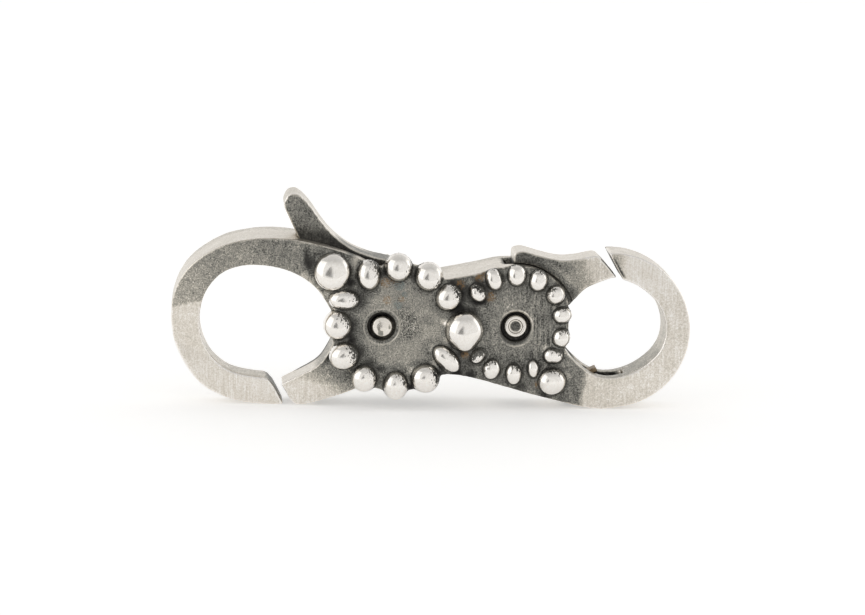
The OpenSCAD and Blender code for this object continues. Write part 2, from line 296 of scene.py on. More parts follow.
def granule_lumps():
    """The granules a little over their final size, and the solder that they stand in."""
    lumps = []
    for i, (x, z, size, length, direction, _, _) in enumerate(GRANULES):
        radius = size / 2
        inwards = disc_of(i) - (x, z)
        inwards *= FOOT_SHIFT / np.linalg.norm(inwards)
        lumps.append(lump((x, granule_depth(i), z),
                          (length / 2 + SPARE, radius * FLATNESS[i] + SPARE, radius + SPARE),
                          direction, BLUNT, CORNERS.get(i, ())))
        spread = FOOT_SPREAD * min(1.0, radius / 0.6) if radius < 1.0 else LARGE_FOOT_SPREAD
        lumps.append(lump((x + inwards[0], MIDDLE_Y - half_at(x) + FOOT_DEPTH, z + inwards[1]),
                          (length / 2 + spread, FOOT_RISE, radius + spread), direction))
    for first, last in RIM_WEBS:
        for angle in np.radians(np.arange(first, last, WEB_STEP)):
            lumps.append(lump((BIG_DISC[0] + RIM_WEB_R * math.cos(angle),
                               MIDDLE_Y - HALF_BODY + WEB_DEPTH,
                               BIG_DISC[1] + RIM_WEB_R * math.sin(angle)), [WEB_BALL_R] * 3))
    return lumps


def granule_gap(points):
    """For each point: the distance to the nearest granule, that granule's number, the share
    of its radius in the front view, and the direction from its middle."""
    gap = np.full(len(points), 99.0)
    nearest = np.zeros(len(points), int)
    share, direction = np.zeros(len(points)), np.zeros(len(points))
    for i, (x, z, size, length, lengthways, _, _) in enumerate(GRANULES):
        radius = size / 2
        offset = points - np.array([x, granule_depth(i), z])
        swell = corner_swell(offset[:, 0], offset[:, 2], CORNERS.get(i, ()))
        along, across = turned(offset[:, 0] / swell, offset[:, 2] / swell, -lengthways)
        flat = np.hypot(along / (length / 2), across / radius)
        depth = np.abs(offset[:, 1]) / (radius * FLATNESS[i])
        distance = ((flat ** BLUNT + depth ** BLUNT) ** (1 / BLUNT) - 1) * radius
        closer = distance < gap
        gap[closer], nearest[closer], share[closer] = distance[closer], i, flat[closer]
        direction[closer] = np.degrees(np.arctan2(offset[closer, 2], offset[closer, 0]))
    return gap, nearest, share, direction


def pressed(points):
    """The model's granules are balls: their fronts brought down to the worn, flatter ones."""
    _, nearest, share, _ = granule_gap(points)
    rise = GRANULE_R[nearest] * FLATNESS[nearest]
    front = (1 - np.minimum(share, 1.0) ** BLUNT) ** (1 / BLUNT)
    above = height_over_plate(points) - GRANULE_RISE * rise - (rise + SPARE) * front
    lower = np.zeros_like(points)
    lower[:, 1] = np.maximum(0.0, above) * (share < 1.05)
    return points + lower


def granule_shine(points, front):
    """Over 0.5 where the granules are polished, falling steadily to their dark sides."""
    gap, nearest, share, direction = granule_gap(points)
    dark_side, dark_from = np.array([g[5:] for g in GRANULES])[nearest].T
    across = share * np.cos(np.radians(direction - dark_side))
    height = height_over_plate(points) / GRANULE_R[nearest]
    outwards = share + 0.6 * np.maximum(0.0, 0.06 - height)
    large = GRANULE_R[nearest] > 1.0
    softness = np.where(large, 0.2, 0.7)
    limit = np.where(large | (nearest < BIG_COUNT), 1.08, 1.0)
    inside = np.minimum((limit - outwards) / 0.2, (dark_from - across) / softness)
    shelf = smooth(share, 0.93, 1.0) * smooth(front, 0.35, 0.6)
    return 0.5 + inside - 2.0 * smooth(gap, 0.06, 0.17) - 2.0 * shelf


def thinned(mesh, keep, weight):
    """The mesh with fewer triangles, most of them where the weight is high."""
    work = placed("work", mesh)
    group = work.vertex_groups.new(name="keep")
    levels = 8
    level = np.round(weight * levels).astype(int)
    for step in range(levels + 1):
        chosen = np.nonzero(level == step)[0].tolist()
        if chosen:
            group.add(chosen, step / levels, "REPLACE")
    fewer = work.modifiers.new("fewer", "DECIMATE")
    fewer.ratio = min(1.0, keep / (2.0 * len(mesh.polygons)))
    fewer.vertex_group, fewer.invert_vertex_group, fewer.vertex_group_factor = "keep", True, 3.0
    result = applied(work)
    bpy.data.objects.remove(work)
    return result


def make_piece(name, mesh, body, node, material):
    """An object in metres that stands for a CAD node and rides on its body."""
    mesh.transform(Matrix.Scale(MM, 4))
    mesh.name = name
    mesh.polygons.foreach_set("use_smooth", np.ones(len(mesh.polygons), bool))
    mesh.materials.clear()
    mesh.materials.append(material)
    piece = placed(name, mesh)
    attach(piece, body)
    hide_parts(node)


class Nodes:
    """Short calls that add shader nodes to one material."""

    def __init__(self, owner):
        owner.use_nodes = True
        self.tree = owner.node_tree
        self.tree.nodes.clear()

    def add(self, kind, **settings):
        node = self.tree.nodes.new(kind)
        for name, value in settings.items():
            setattr(node, name, value)
        return node

    def feed(self, socket, value):
        """An input linked to another node's output, or set to a plain value."""
        if isinstance(value, bpy.types.NodeSocket):
            self.tree.links.new(value, socket)
        else:
            socket.default_value = value

    def show(self, shader):
        """The shader that the material shows."""
        self.feed(self.add("ShaderNodeOutputMaterial").inputs["Surface"], shader.outputs[0])

    def mask(self, name):
        """A mask that the mesh carries."""
        return self.add("ShaderNodeAttribute", attribute_name=name).outputs["Fac"]

    def math(self, operation, first, second=0.0, third=0.0, clamp=False):
        node = self.add("ShaderNodeMath", operation=operation, use_clamp=clamp)
        for socket, value in zip(node.inputs, (first, second, third)):
            self.feed(socket, value)
        return node.outputs[0]

    def step(self, value, low, high, to_low=0.0, to_high=1.0):
        """A soft step from one value to another."""
        node = self.add("ShaderNodeMapRange", interpolation_type="SMOOTHSTEP")
        for name, setting in zip(("Value", "From Min", "From Max", "To Min", "To Max"),
                                 (value, low, high, to_low, to_high)):
            self.feed(node.inputs[name], setting)
        return node.outputs[0]

    def mix(self, share, first, second):
        node = self.add("ShaderNodeMix", data_type="RGBA")
        for socket, value in ((node.inputs[0], share), (node.inputs[6], first),
                              (node.inputs[7], second)):
            self.feed(socket, (*value, 1.0) if isinstance(value, tuple) else value)
        return node.outputs[2]

    def mixed_value(self, share, first, second):
        node = self.add("ShaderNodeMix", data_type="FLOAT")
        for socket, value in zip(node.inputs[:1] + node.inputs[2:4], (share, first, second)):
            self.feed(socket, value)
        return node.outputs[0]

    def place(self):
        return self.add("ShaderNodeTexCoord").outputs["Object"]

    def grain(self, size_mm, detail=2.0, roughness=0.5, stretch=(1, 1, 1), shift=0.0):
        """Noise round zero with features of that size, drawn out where stretch is above 1."""
        scale = self.add("ShaderNodeMapping")
        self.feed(scale.inputs["Vector"], self.place())
        scale.inputs["Scale"].default_value = [1.0 / (size_mm * MM * s) for s in stretch]
        scale.inputs["Location"].default_value = (shift, shift, shift)
        noise_node = self.add("ShaderNodeTexNoise")
        self.feed(noise_node.inputs["Vector"], scale.outputs[0])
        noise_node.inputs["Scale"].default_value = 1.0
        noise_node.inputs["Detail"].default_value = detail
        noise_node.inputs["Roughness"].default_value = roughness
        return self.math("SUBTRACT", noise_node.outputs["Fac"], 0.5)

    def ring(self, middle, radius, half_width):
        """1 on a circle round an axis along the clasp's depth."""
        offset = self.add("ShaderNodeVectorMath", operation="SUBTRACT")
        self.feed(offset.inputs[0], self.place())
        offset.inputs[1].default_value = (middle[0] * MM, 0, middle[1] * MM)
        flat = self.add("ShaderNodeVectorMath", operation="MULTIPLY")
        self.feed(flat.inputs[0], offset.outputs[0])
        flat.inputs[1].default_value = (1 / MM, 0, 1 / MM)
        away = self.add("ShaderNodeVectorMath", operation="LENGTH")
        self.feed(away.inputs[0], flat.outputs[0])
        off = self.math("ABSOLUTE", self.math("SUBTRACT", away.outputs["Value"], radius))
        return self.step(off, half_width, 0.0)


# Colour of the silver from clean to blackened: share of patina, colour
SILVER_TONES = [
    (0.0, (0.92, 0.895, 0.86)), (0.12, (0.7, 0.65, 0.575)), (0.3, (0.41, 0.386, 0.333)),
    (0.5, (0.275, 0.267, 0.24)), (0.68, (0.15, 0.147, 0.133)), (0.85, (0.058, 0.056, 0.051)),
    (1.0, (0.016, 0.015, 0.014))]
BRONZE_TONES = [(0.0, (0.46, 0.37, 0.25)), (0.5, (0.2, 0.15, 0.095)), (1.0, (0.03, 0.022, 0.015))]
ORANGE_STAIN = (0.33, 0.19, 0.075)
TEAL_STAIN = (0.075, 0.15, 0.17)
# Painted highlights: fine bright circles round the recesses: place, radius, half width
GLINT_RINGS = [(BIG_PIVOT, 1.09, 0.085), (SMALL_PIVOT, 1.2, 0.1)]
BUMP_STRENGTH = 0.4
BUMP_DEPTH = 0.03
# What the material reads from the mesh
MASKS = ("patina", "polish", "shine", "brush", "rough", "scratch", "line", "orange", "teal")


def worn_metal(name, tones, glint_rings=()):
    """Metal from bright to blackened, as the vertex masks say."""
    material = bpy.data.materials.new(name)
    n = Nodes(material)
    patina = n.mask("patina")
    # Grains of several sizes, and fine lines along Z
    dust = n.grain(0.07, 1.0, 0.5, shift=31.0)
    fine = n.grain(0.14, 3.0, 0.65)
    coarse = n.grain(0.5, 3.0, 0.6, shift=3.0)
    cloud = n.grain(1.9, 2.0, 0.5, shift=7.0)
    brushed = n.math("MULTIPLY", n.grain(0.1, 1.0, 0.5, (1, 1, 18), 11.0), n.mask("brush"))
    # The granules' polish, which ends in a ragged line
    teeth = n.grain(0.1, 2.0, 0.6, (1, 1, 1.9), 19.0)
    shine = n.math("MULTIPLY_ADD", n.mask("shine"), 2.0, -0.5)
    bright = n.step(n.math("MULTIPLY_ADD", teeth, 3.0, shine), 0.46, 0.54)
    polish = n.math("MAXIMUM", n.mask("polish"), bright)
    matte = n.math("SUBTRACT", 1.0, polish)
    # Patina, mottled most where it is half dark
    blend = n.math("MULTIPLY_ADD", dust, 1.6, fine)
    blend = n.math("MULTIPLY_ADD", coarse, 0.5, n.math("MULTIPLY_ADD", cloud, 0.45, blend))
    middle = n.math("MULTIPLY", n.math("MULTIPLY", patina, n.math("SUBTRACT", 1.0, patina)), 4.0)
    middle = n.math("MULTIPLY", middle, middle)
    spread = n.math("MULTIPLY", n.math("MULTIPLY_ADD", middle, 0.58, 0.09), matte)
    spread = n.math("MULTIPLY_ADD", n.mask("rough"), 1.2, spread)
    dark = n.math("MULTIPLY_ADD", blend, spread, patina)
    dark = n.math("MULTIPLY_ADD", brushed, 0.8, dark, clamp=True)
    # Bright scratches, and the painted highlight circles round the recesses
    scratch = n.step(n.grain(0.09, 1.0, 0.5, (1, 1, 2.8), 43.0), 0.06, 0.14)
    light = n.math("MULTIPLY", scratch, n.mask("scratch"))
    for middle_at, radius, half_width in glint_rings:
        line = n.math("MULTIPLY", n.ring(middle_at, radius, half_width), n.mask("line"))
        light = n.math("MAXIMUM", light, line)
    dark = n.math("MULTIPLY", dark, n.math("MULTIPLY_ADD", light, -0.8, 1.0))
    dark = n.mixed_value(bright, dark, n.math("MULTIPLY_ADD", fine, 0.12, 0.03, clamp=True))
    # Colour
    ramp = n.add("ShaderNodeValToRGB")
    stops = ramp.color_ramp.elements
    for share, tone in tones[1:-1]:
        stops.new(share)
    for stop, (share, tone) in zip(stops, tones):
        stop.position, stop.color = share, (*tone, 1.0)
    n.feed(ramp.inputs["Fac"], dark)
    colour = n.mix(n.math("MULTIPLY", n.mask("orange"), n.step(fine, -0.1, 0.1)),
                   ramp.outputs["Color"], ORANGE_STAIN)
    colour = n.mix(n.math("MULTIPLY", n.mask("teal"), n.step(fine, 0.1, -0.1)),
                   colour, TEAL_STAIN)
    # Gloss
    rough = n.math("MULTIPLY_ADD", fine, 0.12, n.step(dark, 0.0, 0.7, 0.36, 0.5))
    rough = n.mixed_value(polish, rough, n.step(dark, 0.15, 0.6, 0.15, 0.42))
    shader = n.add("ShaderNodeBsdfPrincipled")
    n.feed(shader.inputs["Base Color"], colour)
    n.feed(shader.inputs["Roughness"], rough)
    n.feed(shader.inputs["Metallic"], n.step(dark, 0.6, 1.0, 1.0, 0.8))
    # Fine relief
    height = n.math("MULTIPLY", n.math("MULTIPLY_ADD", dust, 0.5, fine),
                    n.math("MULTIPLY_ADD", matte, 0.95, 0.05))
    height = n.math("MULTIPLY_ADD", bright, 0.35, height)
    height = n.math("MULTIPLY_ADD", brushed, 0.8, height)
    bump = n.add("ShaderNodeBump")
    bump.inputs["Strength"].default_value = BUMP_STRENGTH
    bump.inputs["Distance"].default_value = BUMP_DEPTH * MM
    n.feed(bump.inputs["Height"], height)
    n.feed(shader.inputs["Normal"], bump.outputs[0])
    n.show(shader)
    return material


def shaped(parts, voxel, rounds, keep, adjust, dense):
    """A CAD node's form as a worn casting with rounded edges, fine where it is dense or sharp."""
    mesh = remeshed(parts, voxel)
    edges = read(mesh.edges, "vertices", 2, np.int32)
    points = read(mesh.vertices, "co", 3)
    points = adjust(points, edges, rounds)
    mesh.vertices.foreach_set("co", points.ravel())
    mesh.update()
    normals = read(mesh.vertex_normals, "vector", 3)
    inwards = relaxed(points, edges, np.ones(len(points)), 3) - points
    convex = -(inwards * normals).sum(axis=1) / voxel
    layer = mesh.attributes.new("convex", "FLOAT", "POINT")
    layer.data.foreach_set("value", convex.astype(np.float32))
    sharp = 0.8 * smooth(np.abs(convex), 0.05, 0.2)
    return thinned(mesh, keep, np.maximum(dense(points), sharp))


def painted(mesh, masks):
    """The mesh with the masks that its material reads, one value a point."""
    points, normals = read(mesh.vertices, "co", 3), read(mesh.vertex_normals, "vector", 3)
    convex = read(mesh.attributes["convex"].data, "value", 1)
    values = masks(points, normals, convex)
    mesh.attributes.remove(mesh.attributes["convex"])
    for name in MASKS:
        layer = mesh.attributes.new(name, "FLOAT", "POINT")
        mask = np.clip(values.get(name, np.zeros(len(points))), 0.0, 1.0)
        layer.data.foreach_set("value", mask.astype(np.float32))
    return mesh


def rounded(points, edges, rounds):
    """The plain rounding that most pieces get."""
    return relaxed(points, edges, np.full(len(points), 0.5), rounds)


def away_from(points, place):
    """Distance from a front-view place."""
    return np.hypot(points[:, 0] - place[0], points[:, 2] - place[1])


def direction_from(points, place):
    """Direction from a front-view place, in degrees."""
    return np.degrees(np.arctan2(points[:, 2] - place[1], points[:, 0] - place[0]))


def spot(points, place, radius, soft=0.5):
    """1 at a front-view place, fading out at that radius."""
    return smooth(away_from(points, place), radius, radius * soft)


def spots(points, table):
    """The sum of soft spots on the front view, each with its own strength."""
    return sum(strength * spot(points, place, radius, 0.2) for place, radius, strength in table)


def band(value, centre, half_width):
    """1 at a value, fading out at half_width from it."""
    return smooth(np.abs(value - centre), half_width, 0.0)


def between(value, low, low_full, high_full, high):
    """1 from low_full to high_full, fading out at low and at high."""
    return smooth(value, low, low_full) * smooth(value, high, high_full)


def spread_head(points, pivot, start, full, growth, shift):
    """The pin with its peened head spread; start and full are distances before the middle."""
    head = smooth(points[:, 1], MIDDLE_Y - start, MIDDLE_Y - full)[:, None]
    offset = points[:, [0, 2]] - pivot
    points[:, [0, 2]] += head * (offset * growth + np.array(shift))
    return points


def big_pin_adjust(points, edges, rounds):
    points = rounded(points, edges, rounds)
    return spread_head(points, BIG_PIVOT, start=1.5, full=1.75, growth=0.08, shift=(0.05, -0.06))


def small_pin_adjust(points, edges, rounds):
    points = rounded(points, edges, rounds)
    return spread_head(points, SMALL_PIVOT, start=1.55, full=1.7, growth=0.16, shift=(0.0, 0.0))


def body_adjust(points, edges, rounds):
    """Rounds the casting's edges, fills the granules' feet with solder, dishes the recesses."""
    foot_rounds = 12
    points = pressed(points)
    gap, height = granule_gap(points)[0], height_over_plate(points)
    ball = smooth(gap, 0.12, 0.06) * smooth(height, 0.14, 0.3)
    crisp = np.maximum(ball, seam(points))
    points = relaxed(points, edges, 0.5 - 0.42 * crisp, rounds)
    gap, height = granule_gap(points)[0], height_over_plate(points)
    foot = smooth(gap, 0.3, 0.12) * smooth(height, 0.3, 0.12) * smooth(height, -0.9, -0.5)
    points = relaxed(points, edges, 0.6 * foot, foot_rounds)
    for pivot, recess_r in ((BIG_PIVOT, BIG_RECESS_R), (SMALL_PIVOT, SMALL_RECESS_R)):
        rim = smooth(height_over_plate(points), -0.4, -0.12)
        points[:, 1] += DISH_DEPTH * (smooth(away_from(points, pivot), DISH_R, recess_r) * rim)
    return points


def seam(points):
    """1 along the narrow gap between the small disc and its gate's stub."""
    upper = smooth(points[:, 2], 6.6, 7.0) * smooth(points[:, 0], 4.8, 5.2)
    return band(away_from(points, SMALL_PIVOT), DISC_R, SEAM_HALF_WIDTH) ** 0.5 * upper


def gate_adjust(points, edges, rounds):
    """Rounds a gate's edges, but leaves them crisp along the seam to its disc."""
    points = relaxed(points, edges, 0.5 - 0.4 * seam(points), rounds)
    offset = points[:, [0, 2]] - SMALL_PIVOT
    away = np.linalg.norm(offset, axis=1)
    closer = SEAM_FILL * smooth(away, DISC_R + 0.25, DISC_R + 0.12)
    closer = closer * smooth(away, DISC_R + 0.02, DISC_R + 0.06)
    points[:, [0, 2]] -= offset * (closer / away)[:, None]
    return points


def spring_adjust(points, edges, rounds):
    """Rounds the leaf, and draws its worn end out a little."""
    stretch, lift = 0.22, 0.08
    points = rounded(points, edges, rounds)
    end = smooth(points[:, 0], 9.2, 10.1)
    points[:, 0] += stretch * end
    points[:, 2] += lift * end
    return points


# From here on a tone is a share of patina, in places painted shade or light: 0 is bright silver, 1
# is black
FRONT_TONES = {"disc": 0.42, "waist": 0.64, "small side": 0.55,
               "ring root": 0.56, "ring tip": 0.27, "tip shade line": 0.95, "haze": 0.11,
               "dish": 0.62, "small dish shade": 0.76, "recess": 0.96}
WALL_TONES = {"plain": 0.13, "slots": 0.75, "groove": 0.98, "low ring": 0.34,
              "right ring": 0.22, "tip face shade": 0.8, "hook end": 0.6, "hook floor": 0.22}
SOLDER_TONES = {"foot": 0.64, "crease": 0.84, "rim": 0.74}
# Along the hook's arm, and along the gates' faces
ARM_TONES = (-16, -13.2, -11, -8.6, -7.8, -5.5), (0.33, 0.42, 0.47, 0.54, 0.52, 0.56)
BIG_GATE_TONES = (4.0, 4.9, 5.8, 6.6), (0.68, 0.56, 0.3, 0.17)
# The thumb tab is darkest at its root, where it comes out from behind the plate: painted shade
# over patina
TAB_PATINA_AND_SHADE = (9.3, 10.6, 11.2, 12.4), (0.93, 0.86, 0.64, 0.57)
SMALL_GATE_TONES = (5.0, 6.8, 7.7, 8.6, 9.8), (0.72, 0.71, 0.67, 0.48, 0.12)


def disc_tone(points):
    """Tone of both discs, a little darker at the left of each."""
    x = points[:, 0]
    big = FRONT_TONES["disc"] + 0.07 * smooth(x, -2.6, -4.2)
    small = FRONT_TONES["disc"] + 0.03 * smooth(x, 4.6, 3.8)
    return np.maximum(big * smooth(away_from(points, BIG_DISC), 4.7, 3.9),
                      small * smooth(away_from(points, SMALL_PIVOT), 4.4, 3.8))


def arm_tone(points):
    """Tone of the big hook's arm, down to a ragged border, with a smudge across its root."""
    x, _, z = points.T
    smudge_tone = 0.3
    border = np.interp(x, (-15.8, -14.5, -8.0), (5.9, 6.5, 6.1))
    border = border + 0.12 * np.sin(x * 2.3) + 0.3 * (noise(points, 0.5, 5) - 0.5)
    arm = smooth(z, border - 0.16, border + 0.16) * smooth(x, -4.2, -6.0)
    leaning = x + 0.12 * z
    smudge = band(leaning, -6.66, 0.4) + 0.35 * band(leaning, -6.2, 0.4)
    return arm * np.interp(x, *ARM_TONES) + smudge_tone * smudge * between(z, 8.3, 8.8, 9.8, 10.3)


def ring_tone(points):
    """Tone of the ring's root and of its tip, which a dark line of painted shade edges."""
    x, _, z = points.T
    root = smooth(x - 0.15 * z + 0.3 * noise(points, 0.5, 9), 9.8, 9.05)
    root = root * smooth(x, 4, 6) * smooth(z, 4.2, 3.4)
    tip = between(x, 9.9, 10.2, 11.2, 12.2) * smooth(z, 7.6, 8.0)
    from_tip = (x - 10.88) * 0.875 + (z - 9.6) * 0.484
    # Painted shade: a dark line on the front along the ring tip's end
    line = band(from_tip, 0.12, 0.12 + 0.05 * (9.6 - z)) * between(z, 8.15, 8.4, 9.4, 9.6)
    line = line * smooth(x, 12.2, 12.0) * (x > 10.2)
    return np.maximum.reduce([FRONT_TONES["ring root"] * root, FRONT_TONES["ring tip"] * tip,
                              FRONT_TONES["tip shade line"] * line])


def haze_tone(points):
    """Tone of the bright faces: least on the ring's top, most near the big gate."""
    x, _, z = points.T
    haze = FRONT_TONES["haze"] - 0.03 * smooth(z, 3.0, 1.5) * smooth(x, -7.5, -8.5)
    haze = haze + 0.02 * smooth(z, 2.4, 1.6) * between(x, 8.5, 9.5, 11.6, 12.4)
    haze = haze + 0.05 * spot(points, (-9.0, 2.6), 1.2, 0.3)
    return haze - 0.045 * smooth(z, 6.6, 7.8) * smooth(x, 10.4, 11.4)


def plate_tone(points):
    """Tone of the casting's front faces."""
    x = points[:, 0]
    waist = between(x, 0.2, 1.2, 2.6, 3.6)
    small_side = smooth(x, 2.0, 3.0) * smooth(away_from(points, SMALL_PIVOT), 4.5, 4.0)
    return np.maximum.reduce([disc_tone(points), arm_tone(points), ring_tone(points),
                              haze_tone(points), FRONT_TONES["waist"] * waist,
                              FRONT_TONES["small side"] * small_side])


def inside_slots(points):
    """1 on the walls that only the gates see."""
    x, y, _ = points.T
    half_slot = 1.17
    turn = direction_from(points, BIG_PIVOT) % 360
    big = smooth(away_from(points, BIG_DISC), 5.2, 5.0) * smooth(turn, 40, 46)
    small = smooth(away_from(points, SMALL_PIVOT), 4.6, 4.4) * (x > SMALL_SLOT_LEFT - 0.1)
    return np.maximum(big, small) * smooth(np.abs(y - MIDDLE_Y), half_slot + 0.07, half_slot)


def spring_groove(points):
    """1 in the groove of the ring that holds the leaf spring."""
    x, y, z = points.T
    groove = smooth(np.abs(y - MIDDLE_Y), 0.58, 0.5) * smooth(z, 2.5, 2.2)
    return groove * (x > 8.2) * smooth(x, 12.0, 11.6)


def wall_tone(points, normals):
    """Tone of the casting's walls and back."""
    x, y, z = points.T
    in_ring = smooth(away_from(points, RING_CENTRE), 4.0, 3.6)
    # Painted shade on the ring tip's end face
    tip_face_shade = smooth(normals[:, 0], -0.55, -0.8) * between(x, 10.2, 10.6, 11.8, 12.0)
    hook_end = smooth(normals[:, 0], 0.3, 0.6) * between(x, -11.0, -10.4, -7.8, -7.4)
    shares = {"slots": inside_slots(points), "groove": spring_groove(points),
              "low ring": in_ring * smooth(x, 8.2, 8.8) * smooth(z, 4.8, 3.4),
              "right ring": in_ring * smooth(x, 12.6, 13.4),
              "tip face shade": tip_face_shade * smooth(z, 8.0, 8.2),
              "hook end": hook_end * smooth(z, 3.8, 3.2),
              "hook floor": smooth(normals[:, 2], 0.2, 0.5) * smooth(z, 5.0, 4.0) * (x < -8.5)}
    plain = WALL_TONES["plain"] + 0.06 * (y > MIDDLE_Y + 1.2)
    return np.maximum.reduce([plain] + [WALL_TONES[k] * share for k, share in shares.items()])


def worn_edge_less_in_shade(points, normals, convex):
    """1 where the casting's front edges are rubbed bright; least under the arm and along the
    waist's lower edge, where the edges that face down keep painted shade.
    """
    x, y, z = points.T
    arm = np.maximum(smooth(x, -7.4, -8.0) * smooth(z, 5.8, 6.4),
                     smooth(x, -3.0, -4.0) * smooth(z, 8.9, 9.2))
    edge = smooth(convex, 0.11 + 0.07 * arm, 0.32 + 0.08 * arm)
    edge = edge * smooth(y, MIDDLE_Y + 1.1, MIDDLE_Y + 0.9)
    edge = edge * smooth(granule_gap(points)[0], 0.1, 0.25)
    # Painted shade: edges under the arm and along the waist's lower edge stay dark
    shade_under_arm = smooth(normals[:, 2], 0.1, -0.2) * smooth(z, 6.2, 7.0) * (x < -7.5)
    shade_under_waist = between(x, -1.0, 0.0, 8.0, 8.6) * smooth(z, 3.4, 2.8)
    return (edge * (1 - inside_slots(points)) * (1 - spring_groove(points))
            * (1 - 0.8 * seam(points)) * (1 - 0.6 * shade_under_arm) * (1 - 0.85 * shade_under_waist))


def solder_tone(gap, height, normals):
    """Tone of the solder at the granules' feet, with painted light where it looks up."""
    top_lit = smooth(normals[:, 2], 0.5, 0.8)
    # Painted light: the foot's solder is lighter where it faces up
    foot = smooth(gap, 0.34, 0.1) * (1 - 0.5 * top_lit) * smooth(height, -0.5, 0.0)
    crease = smooth(gap, 0.16, 0.04) * between(height, -0.3, 0.0, 0.12, 0.3)
    return np.maximum.reduce([SOLDER_TONES["foot"] * foot, SOLDER_TONES["crease"] * crease,
                              SOLDER_TONES["rim"] * smooth(gap, 0.1, 0.03)])


def recess_tone(points):
    """Tone of the recesses round the pins: near black, partly patina and partly painted shade,
    lighter where their walls catch the light.
    """
    x, _, z = points.T
    edge = 0.03
    recess = np.maximum.reduce([
        smooth(away_from(points, pivot), radius + edge, radius - edge)
        for pivot, radius in ((BIG_PIVOT, BIG_RECESS_R), (SMALL_PIVOT, SMALL_RECESS_R))])
    # Painted light on the side of each recess wall that catches the light
    lit = np.where(x < 1, (x - BIG_PIVOT[0]) * 0.82 - (z - BIG_PIVOT[1]) * 0.57,
                   0.5 * (SMALL_PIVOT[1] - z))
    return recess * (FRONT_TONES["recess"] - 0.4 * smooth(lit, 0.2, 0.8))


def painted_rim_glints(points):
    """Strength of the painted highlight circles round the recesses, brightest on one side of each.
    """
    strength = np.zeros(len(points))
    for pivot, reach, least, gain, direction, half_turn in (
            (BIG_PIVOT, 1.4, 0.5, 0.5, -35, 45), (SMALL_PIVOT, 1.5, 0.0, 0.7, -80, 75)):
        lit = least + gain * band(direction_from(points, pivot), direction, half_turn)
        strength += np.where(away_from(points, pivot) < reach, lit, 0.0)
    return strength


def brushing(points):
    """Strength of the fine upright lines: most on the small disc and low on the big hook."""
    x, _, z = points.T
    least = 0.17
    disc = smooth(away_from(points, SMALL_PIVOT), 3.6, 3.2) * (0.34 + 0.6 * smooth(x, 5.8, 6.6))
    worn = 0.28 * smooth(z, 2.9, 2.3) * between(x, -13.6, -12.8, -11.0, -9.8)
    return np.maximum.reduce([np.full(len(x), least), disc, worn])


def facing_front(normals):
    """1 on faces that look to the front."""
    return smooth(-normals[:, 1], 0.35, 0.8)


def body_masks(points, normals, convex):
    """The casting: faces, walls, rubbed edges, solder, recesses and stains, with painted shade and
    light in places.
    """
    x, y, z = points.T
    front, on_front = facing_front(normals), y < MIDDLE_Y
    gap, height = granule_gap(points)[0], height_over_plate(points)
    to_big, to_small = away_from(points, BIG_PIVOT), away_from(points, SMALL_PIVOT)
    darkest = np.maximum(smooth(x, 0.4, -0.4), smooth(z, 5.6, 6.4) * smooth(x, 4.2, 3.0))
    near = smooth(gap, 0.6, 0.05) * (0.14 + 0.14 * darkest) * smooth(x, -8.0, -7.2)
    edge = worn_edge_less_in_shade(points, normals, convex)
    patina = front * (plate_tone(points) + near) + (1 - front) * wall_tone(points, normals)
    patina = np.maximum(patina, WALL_TONES["groove"] * spring_groove(points))
    # Spots of painted shade, partly patina, darken the front
    patina = patina * (1 - 0.96 * edge) + on_front * spots(points, SHADE_AND_PATINA_SPOTS)
    patina = np.maximum(patina, solder_tone(gap, height, normals))
    patina = patina - on_front * smooth(gap, 0.03, 0.1) * spots(points, LIGHTER_SPOTS)
    patina = np.where(on_front & (to_big < DISH_R), FRONT_TONES["dish"], patina)
    # Painted shade in the small dish, off its centre
    dish = FRONT_TONES["small dish shade"] * spot(points, SMALL_DISH_SHADE, 1.3, 0.66)
    patina = np.maximum(patina, on_front * np.maximum(dish, recess_tone(points)))
    stain = front * spot(points, STAIN, 1.3, 0.3) * smooth(to_big, 1.15, 1.3)
    scratched = band(x, SCRATCHES[0], 1.0) ** 0.4 * band(z, SCRATCHES[1], 0.34) ** 0.5
    matte = front * smooth(gap, 0.0, 0.1)
    orange = np.maximum.reduce([spot(points, c, r) for c, r in ORANGE_PLACES])
    teal = np.maximum.reduce([spot(points, c, r) for c, r in TEAL_PLACES])
    return {"patina": patina + 0.14 * stain, "polish": edge,
            "shine": 0.5 * granule_shine(points, -normals[:, 1]) + 0.25,
            "brush": matte * brushing(points), "rough": 0.55 * stain,
            "scratch": front * scratched * smooth(to_small, 1.1, 1.25),
            # line: the painted highlight circles round the recesses
            "line": painted_rim_glints(points) * on_front * front,
            "orange": 0.5 * orange * matte, "teal": 0.5 * teal * matte}


